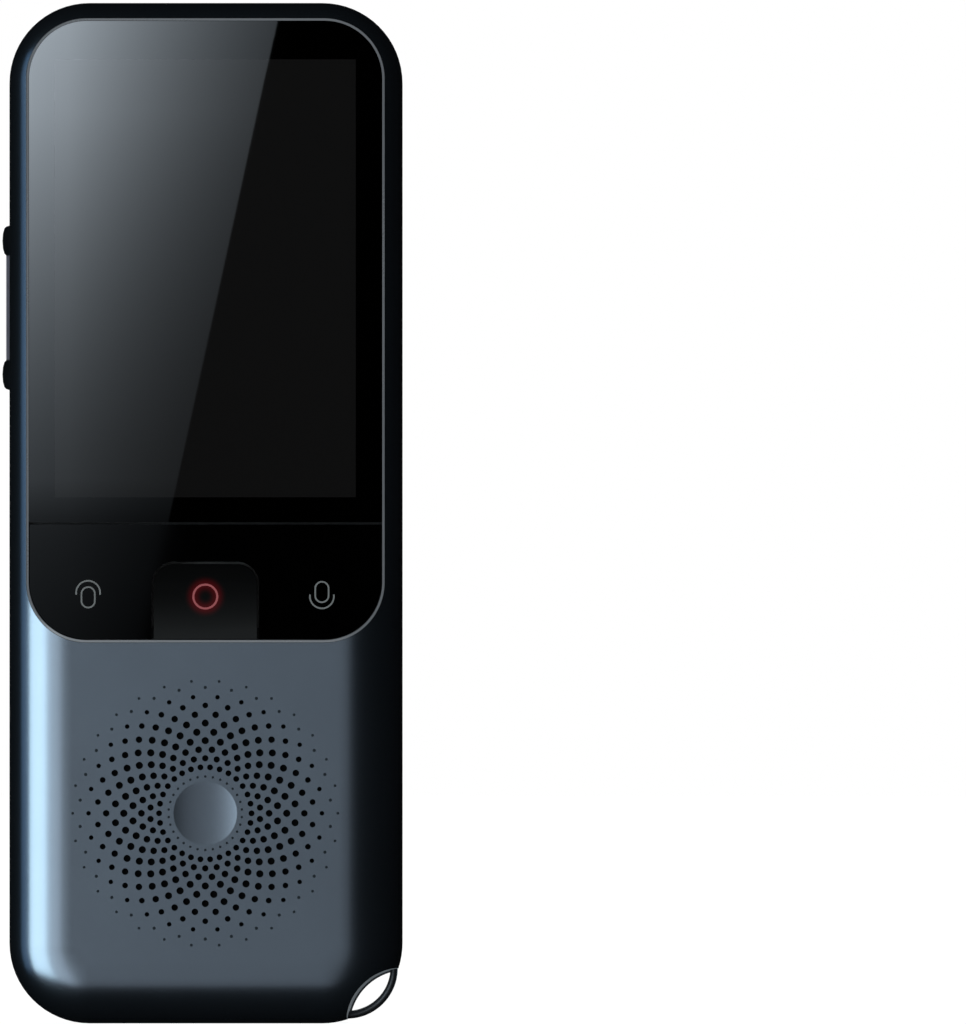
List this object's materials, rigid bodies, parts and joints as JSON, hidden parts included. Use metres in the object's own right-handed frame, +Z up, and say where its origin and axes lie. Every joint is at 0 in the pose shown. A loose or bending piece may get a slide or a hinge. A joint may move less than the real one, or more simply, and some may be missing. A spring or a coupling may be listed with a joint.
{
  "type": "handheld translator",
  "caption": "Slim upright handheld translator with a glossy front panel, talk keys, a ring grille over its speaker, a camera island on the back and a strap bar across a lower corner.",
  "frame": {"origin": "middle of the bottom end, on the middle of the thickness", "axes": "+X to the right seen from the front, +Y from the front face to the back, +Z up along the height"},
  "size_m": [0.053, 0.015, 0.135],
  "materials": {
    "housing": "satin metallic lacquer",
    "trim": "bright",
    "panel_black": "high gloss, hard coated",
    "key_black": "gloss",
    "key_grey": "satin",
    "side_key": "satin",
    "screen": "polished",
    "window_glass": "polished",
    "lens_glass": "coated",
    "flash_plastic": "frosted",
    "led_yellow": "phosphor",
    "dark_metal": "black satin",
    "sheet_steel": "rolled",
    "chassis": "pressed",
    "screw_steel": "plated",
    "magnet_steel": "zinc plated",
    "board_green": "solder mask",
    "chip_black": "moulded",
    "flex_amber": "polyimide film",
    "copper": "bare",
    "plug_white": "moulded",
    "lead_red": "insulated wire",
    "battery_foil": "pouch foil",
    "foam": "foam",
    "mesh_fabric": "fine dust mesh",
    "cone_paper": "pressed"
  },
  "bodies": {
    "housing": {"front_shell": "housing", "rear_shell": "housing", "panel_rim": "trim", "front_lens": "panel_black", "display_panel": "screen", "backlight": "sheet_steel", "key_board": "board_green", "key_domes": "sheet_steel", "mid_frame": "chassis", "frame_screws": "screw_steel", "main_board": "board_green", "board_screws": "screw_steel", "shield_cans": "sheet_steel", "board_chips": "chip_black", "top_microphone": "copper", "antenna_strip": "copper", "display_flex": "flex_amber", "display_connector": "plug_white", "battery_tape": "foam", "battery_cell": "battery_foil", "battery_pad": "foam", "battery_leads": "lead_red", "battery_plug": "plug_white", "camera_module": "chip_black", "camera_lens_ring": "dark_metal", "camera_lens": "lens_glass", "camera_window": "window_glass", "camera_rim": "trim", "flash_led": "led_yellow", "flash_lens": "flash_plastic", "speaker_mesh": "mesh_fabric", "speaker_gasket": "foam", "speaker_surround": "foam", "speaker_basket": "sheet_steel", "speaker_magnet": "magnet_steel", "speaker_terminal": "chip_black", "speaker_leads": "lead_red", "side_board": "board_green", "side_switches": "sheet_steel", "usb_board": "board_green", "usb_socket": "sheet_steel", "usb_tongue": "chip_black", "bottom_microphone": "copper", "board_link": "flex_amber", "strap_bar": "dark_metal"},
    "talk_keys": {"talk_rocker": "key_black"},
    "middle_key": {"centre_key": "key_grey"},
    "volume_rocker": {"volume_key": "side_key"},
    "power_key": {"power_button": "side_key"},
    "cone": {"speaker_cone": "cone_paper"}
  },
  "joints": [
    {"name": "talk_rocker_tilt", "type": "hinge", "parent": "housing", "child": "talk_keys", "pos_m": [0, -0.00365, 0.0585], "axis": [0, 0, 1], "range_deg": [-1.1, 1.1], "stiffness_Nm_per_rad": 1},
    {"name": "centre_key_press", "type": "slide", "parent": "housing", "child": "middle_key", "axis": [0, 1, 0], "range_m": [0, 0.00028], "stiffness_N_per_m": 3000},
    {"name": "volume_key_rock", "type": "hinge", "parent": "housing", "child": "volume_rocker", "pos_m": [-0.02385, 0.001, 0.0947], "axis": [0, 1, 0], "range_deg": [-1.5, 1.5], "stiffness_Nm_per_rad": 0.4},
    {"name": "power_button_press", "type": "slide", "parent": "housing", "child": "power_key", "axis": [1, 0, 0], "range_m": [0, 0.00028], "stiffness_N_per_m": 3000},
    {"name": "speaker_cone_travel", "type": "slide", "parent": "housing", "child": "cone", "axis": [0, 1, 0], "range_m": [-0.00025, 0.00025], "stiffness_N_per_m": 1500}
  ]
}
